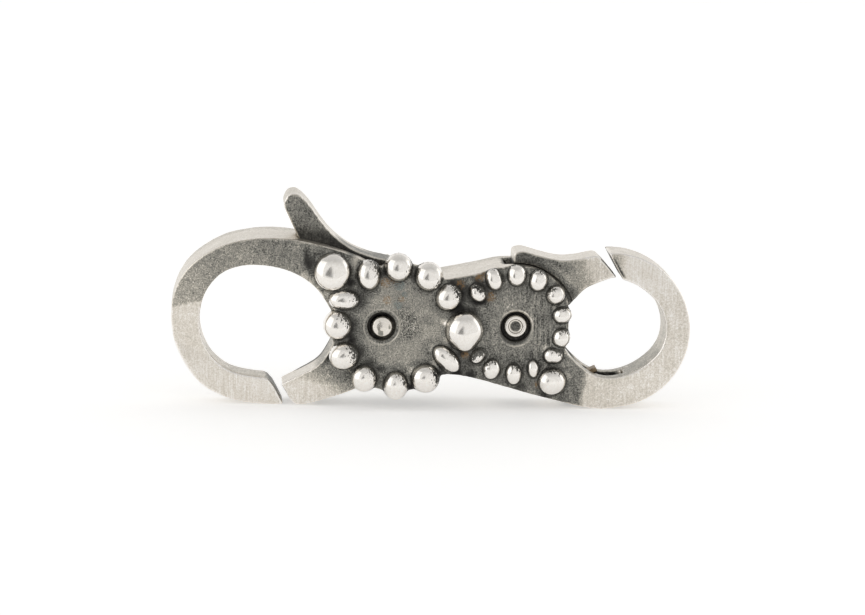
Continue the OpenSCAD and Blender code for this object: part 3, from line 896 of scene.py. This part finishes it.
# Darker places on the front, partly painted shade (under the thumb tab, in the webs between
# granules and along the bottom edges) and partly patina; then places painted lighter:
# place, radius, change of the tone
SHADE_AND_PATINA_SPOTS = [
    ((-5.07, 7.87), 0.4, 0.35), ((-4.0, 9.6), 0.5, 0.5), ((-3.3, 9.7), 0.4, 0.25),
    ((-5.0, 9.75), 0.5, 0.5), ((-4.94, 4.4), 0.4, 0.25), ((-1.33, 5.75), 0.45, 0.2),
    ((1.82, 3.6), 0.35, 0.2), ((-4.4, 6.9), 1.0, 0.08), ((0.1, 2.3), 0.5, 0.4),
    ((-5.0, 8.5), 0.45, 0.2), ((-3.1, 8.5), 0.4, 0.2), ((-1.25, 8.3), 0.4, 0.2),
    ((-3.1, 2.6), 0.4, 0.3), ((-4.3, 3.7), 0.6, 0.1), ((-4.7, 5.0), 1.0, 0.14),
    ((-3.7, 3.1), 0.6, 0.14), ((-7.7, 9.2), 0.6, 0.12), ((-1.25, 1.35), 0.45, 0.4),
    ((0.6, 2.3), 0.5, 0.35), ((1.5, 2.3), 0.5, 0.35), ((2.4, 2.2), 0.5, 0.3),
    ((5.6, 1.35), 0.6, 0.2), ((7.0, 0.8), 0.6, 0.2), ((8.2, 0.55), 0.6, 0.15),
    ((1.25, 6.5), 0.5, 0.3), ((2.85, 7.0), 0.5, 0.45), ((9.0, 6.9), 0.4, 0.2),
    ((1.6, 6.35), 0.4, 0.3), ((-0.3, 5.6), 0.5, 0.12), ((-2.2, 6.9), 0.8, 0.06)]
LIGHTER_SPOTS = [
    ((-7.9, 8.25), 0.4, 0.3), ((-7.45, 7.95), 0.4, 0.3), ((-7.0, 7.6), 0.4, 0.3),
    ((-6.55, 7.15), 0.4, 0.35), ((-6.25, 6.75), 0.4, 0.35), ((-6.05, 6.35), 0.3, 0.25),
    ((0.95, 5.35), 0.42, 0.5), ((0.9, 4.5), 0.35, 0.35), ((0.62, 5.5), 0.3, 0.3),
    ((0.0, 3.95), 0.45, 0.22), ((0.25, 7.0), 0.35, 0.3), ((0.18, 2.97), 0.3, 0.3),
    ((-1.2, 2.5), 0.4, 0.3), ((-6.5, 9.7), 0.4, 0.2), ((-3.15, 9.15), 0.35, 0.25),
    ((-3.8, 7.4), 0.4, 0.08), ((-7.1, 9.3), 0.35, 0.2), ((-2.9, 8.95), 0.3, 0.3),
    ((-5.93, 6.2), 0.28, 0.35), ((3.15, 8.27), 0.3, 0.25), ((7.0, 3.85), 0.4, 0.4),
    ((8.3, 2.9), 0.4, 0.12), ((2.2, 8.0), 0.4, 0.3), ((8.36, 3.62), 0.35, 0.35),
    ((8.35, 2.1), 0.45, 0.3), ((8.0, 7.9), 0.35, 0.3)]
# Stains on the plates: place and radius
ORANGE_PLACES = [((-3.0, 7.9), 0.4), ((-2.4, 8.15), 0.35), ((-2.85, 6.84), 0.35),
                 ((-1.94, 6.92), 0.25), ((1.59, 7.84), 0.4), ((2.8, 8.47), 0.5),
                 ((3.5, 7.1), 0.4), ((2.01, 3.49), 0.3), ((6.6, 1.6), 0.3)]
TEAL_PLACES = [((-2.1, 7.75), 0.42), ((-2.17, 6.54), 0.35), ((-1.8, 7.2), 0.25)]


def body_dense(points):
    """The casting's front part, with the granules, keeps most of the triangles."""
    return 0.15 + 0.85 * smooth(points[:, 1], MIDDLE_Y - 0.9, MIDDLE_Y - 1.2)


def everywhere(points):
    """A piece that is dense all over."""
    return np.ones(len(points))


def big_gate_masks(points, normals, convex):
    """The big gate: a bright arm below, a dark thumb tab above with painted shade at its root,
    both with rubbed edges.
    """
    x, y, z = points.T
    front, back, upper = facing_front(normals), smooth(normals[:, 1], 0.5, 0.8), z > 6.0
    reach = away_from(points, BIG_DISC)
    arm = np.interp(reach, *BIG_GATE_TONES)
    arm = arm + 0.35 * smooth(z - 0.5 * x, 5.6, 6.3) * smooth(x, -9.0, -8.2)
    arm = np.maximum(0.1, arm - 0.15 * smooth(z, 1.9, 1.1))
    flat = np.where(upper, np.interp(z, *TAB_PATINA_AND_SHADE), arm)
    tab_root = 0.12 + 0.45 * smooth(x, -4.6, -3.4) * upper + 0.05 * smooth(z, 10.6, 11.4)
    wrapped = smooth(x, -6.4, -5.4) * smooth(y, MIDDLE_Y + 0.6, MIDDLE_Y) * upper
    back_rim = smooth(y, MIDDLE_Y + 0.7, MIDDLE_Y + 1.0) * smooth(normals[:, 2], 0.2, 0.5) * ~upper
    side = np.maximum.reduce([tab_root, 0.5 * wrapped, 0.8 * back_rim * smooth(x, -8.6, -8.0),
                              0.36 * smooth(x, -7.5, -6.7) * ~upper])
    side = side * (1 - back) + 0.19 * back
    edge = smooth(convex, 0.1, 0.32)
    inside = smooth(reach, DISC_R + 0.3, DISC_R)
    patina = (front * flat + (1 - front) * side) * (1 - 0.95 * edge * (1 - back_rim))
    return {"patina": np.maximum(patina, 0.9 * inside), "polish": 0.8 * edge * (1 - inside),
            "brush": 0.22 * front}


def small_gate_masks(points, normals, convex):
    """The small gate: dark at the disc, with a painted shadow of the disc's edge, brighter to its
    nose, with a bright streak.
    """
    x, _, z = points.T
    front = facing_front(normals)
    reach = away_from(points, SMALL_PIVOT)
    flat = np.interp(x + 0.3 * (z - 9), *SMALL_GATE_TONES)
    flat = flat - 0.12 * band(0.585 * x + 0.81 * z, 11.45, 0.4) * smooth(x, 6.4, 7.0)
    # The disc's edge casts a painted shadow: a darker band on the stub along the disc
    flat = flat + 0.08 * smooth(reach, 4.4, 3.95) + 0.12 * spot(points, (8.75, 7.05), 0.8, 0.3)
    edge = smooth(convex, 0.06, 0.3) * (1 - 0.8 * seam(points))
    # Painted shade: edges that face down, short of the nose, are not rubbed bright
    edge = edge * np.maximum(smooth(normals[:, 2], -0.4, 0.0), smooth(x, 9.6, 10.6))
    inside = smooth(reach, DISC_R + 0.25, DISC_R)
    patina = (front * flat + (1 - front) * 0.11) * (1 - 0.9 * edge)
    return {"patina": np.maximum(patina, inside * (0.9 - 0.2 * front)),
            "polish": 0.8 * edge * (1 - inside), "brush": 0.2 * front}


def big_pin_masks(points, normals, convex):
    """Bright, with a few dark marks on its head."""
    marks = noise(points, 0.22, 23) * (points[:, 1] < MIDDLE_Y)
    return {"patina": 0.08 + 0.4 * smooth(marks, 0.66, 0.76), "polish": np.full(len(points), 0.8)}


def small_pin_masks(points, normals, convex):
    """A bright ring round the dark dimple of its head, and a bright end at the back."""
    ring = between(away_from(points, SMALL_PIVOT), 0.28, 0.36, 0.74, 0.82)
    ring = np.where(points[:, 1] < MIDDLE_Y, ring, 0.8)
    return {"patina": 0.72 - 0.66 * ring, "polish": 0.8 * ring}


def spring_masks(points, normals, convex):
    """Black, with its end worn to bare bronze."""
    first, last = LEAF_END
    end = between(points[:, 0], first - 0.06, first, last, last + 0.06)
    return {"patina": 0.97 - 0.55 * end}


SILVER = worn_metal("oxidised_silver", SILVER_TONES, GLINT_RINGS)
BRONZE = worn_metal("spring_bronze", BRONZE_TONES)
# Piece, CAD node, body, material slot, material, voxel, rounds of smoothing, most triangles;
# then what shapes it, what paints it and where its triangles stay dense
PIECES = [
    ("casting", "body", "frame", "oxidised_silver", SILVER, 0.07, 2, 195000,
     body_adjust, body_masks, body_dense),
    ("big_lever", "large_gate", "large_gate", "oxidised_silver", SILVER, 0.06, 2, 90000,
     rounded, big_gate_masks, everywhere),
    ("small_lever", "small_gate", "small_gate", "oxidised_silver", SILVER, 0.06, 3, 60000,
     gate_adjust, small_gate_masks, everywhere),
    ("big_pin", "large_pivot_pin", "frame", "pin_silver", SILVER, 0.03, 2, 20000,
     big_pin_adjust, big_pin_masks, everywhere),
    ("small_pin", "small_pivot_pin", "frame", "pin_silver", SILVER, 0.03, 2, 20000,
     small_pin_adjust, small_pin_masks, everywhere),
    ("leaf_spring", "small_gate_spring", "frame", "spring_bronze", BRONZE, 0.03, 2, 8000,
     spring_adjust, spring_masks, everywhere)]
for name, node, body, slot, material, voxel, rounds, keep, adjust, masks, dense in PIECES:
    extra = granule_lumps() if node == "body" else []
    mesh = shaped([form_of(node)] + extra, voxel, rounds, keep, adjust, dense)
    make_piece(name, painted(mesh, masks), body, node, material)


# The floor: half its width, and the Y in front of which no granule mirrors it
FLOOR_REACH = 4000
FLOOR_SPLIT = -24
FLOOR_COLOUR = (0.84, 0.838, 0.832, 1)
FLOOR_GLOW = 0.34


def floor():
    """A plain white surface; the polished granules mirror only its part near the clasp."""
    reach, split = FLOOR_REACH * MM, FLOOR_SPLIT * MM
    material = bpy.data.materials.new("floor_white")
    n = Nodes(material)
    shader = n.add("ShaderNodeBsdfPrincipled")
    shader.inputs["Base Color"].default_value = FLOOR_COLOUR
    shader.inputs["Roughness"].default_value = 0.8
    shader.inputs["Emission Color"].default_value = (1, 1, 1, 1)
    shader.inputs["Emission Strength"].default_value = FLOOR_GLOW
    n.show(shader)
    for name, low, high in (("floor", split, reach), ("floor_in_front", -reach, split)):
        data = bpy.data.meshes.new(name)
        data.from_pydata([(-reach, low, 0), (reach, low, 0), (reach, high, 0),
                          (-reach, high, 0)], [], [(0, 1, 2, 3)])
        data.materials.append(material)
        plane = placed(name, data)
        plane.visible_glossy = name == "floor"


CLASP_MIDDLE = (0, 0, 5)


def turned_to(place, aim):
    """The placement of a light at one place that faces another."""
    turn = (Vector(aim) - Vector(place)).to_track_quat("-Z", "Y")
    return Matrix.Translation(Vector(place) * MM) @ turn.to_matrix().to_4x4()


def panel(name, direction, distance, size, brightness):
    """A soft panel of light, so bright that a mirror shows it with that value."""
    data = bpy.data.lights.new(name, "AREA")
    data.shape, data.size, data.size_y = "RECTANGLE", size[0] * MM, size[1] * MM
    data.energy = brightness * math.pi * size[0] * size[1] * MM * MM
    light = placed(name, data)
    light.matrix_world = turned_to(Vector(direction).normalized() * distance, CLASP_MIDDLE)
    light.visible_camera = False


# The card that stands for the tripod: its place, corners, and colours at its foot and top
CARD_Y = -330
CARD_CORNERS = [(-130, 0, -85), (8, 0, -85), (-10, 0, 80), (-26, 0, 80)]
CARD_DARK, CARD_LIGHT = (0.19, 0.19, 0.19), (0.53, 0.53, 0.52)


def dark_card():
    """The dim figure of the tripod, that the polished granules mirror at their centres."""
    data = bpy.data.meshes.new("tripod_card")
    data.from_pydata(CARD_CORNERS, [], [(0, 1, 2, 3)])
    data.transform(Matrix.Scale(MM, 4))
    material = bpy.data.materials.new("tripod_grey")
    n = Nodes(material)
    parts = n.add("ShaderNodeSeparateXYZ")
    n.feed(parts.inputs[0], n.place())
    shader = n.add("ShaderNodeBsdfPrincipled")
    n.feed(shader.inputs["Base Color"],
           n.mix(n.step(parts.outputs["Z"], -0.06, 0.15), CARD_DARK, CARD_LIGHT))
    shader.inputs["Roughness"].default_value = 0.9
    n.show(shader)
    data.materials.append(material)
    card = placed("tripod_card", data)
    card.location = (0, CARD_Y * MM, 0)
    card.visible_camera = card.visible_shadow = card.visible_diffuse = False


def lights():
    """A white studio: bright behind and below, greyer overhead and on the camera's side."""
    world = bpy.data.worlds.new("studio")
    bpy.context.scene.world = world
    n = Nodes(world)
    parts = n.add("ShaderNodeSeparateXYZ")
    n.feed(parts.inputs[0], n.add("ShaderNodeTexCoord").outputs["Generated"])
    level = n.math("MULTIPLY", n.step(parts.outputs["Z"], 0.1, 0.9, 1.08, 0.7),
                   n.step(parts.outputs["Y"], -0.6, 0.3, 0.84, 1.0))
    background = n.add("ShaderNodeBackground")
    background.inputs["Color"].default_value = (1.0, 0.995, 0.985, 1)
    n.feed(background.inputs["Strength"], level)
    n.feed(n.add("ShaderNodeOutputWorld").inputs["Surface"], background.outputs[0])
    panel("window", direction=(-0.89, -0.42, 0.24), distance=420, size=(560, 520), brightness=0.5)
    panel("right_panel", direction=(0.93, 0.05, 0.34), distance=420, size=(300, 300),
          brightness=0.4)


place_camera()
floor()
dark_card()
lights()
bpy.context.scene.view_settings.view_transform = "Standard"
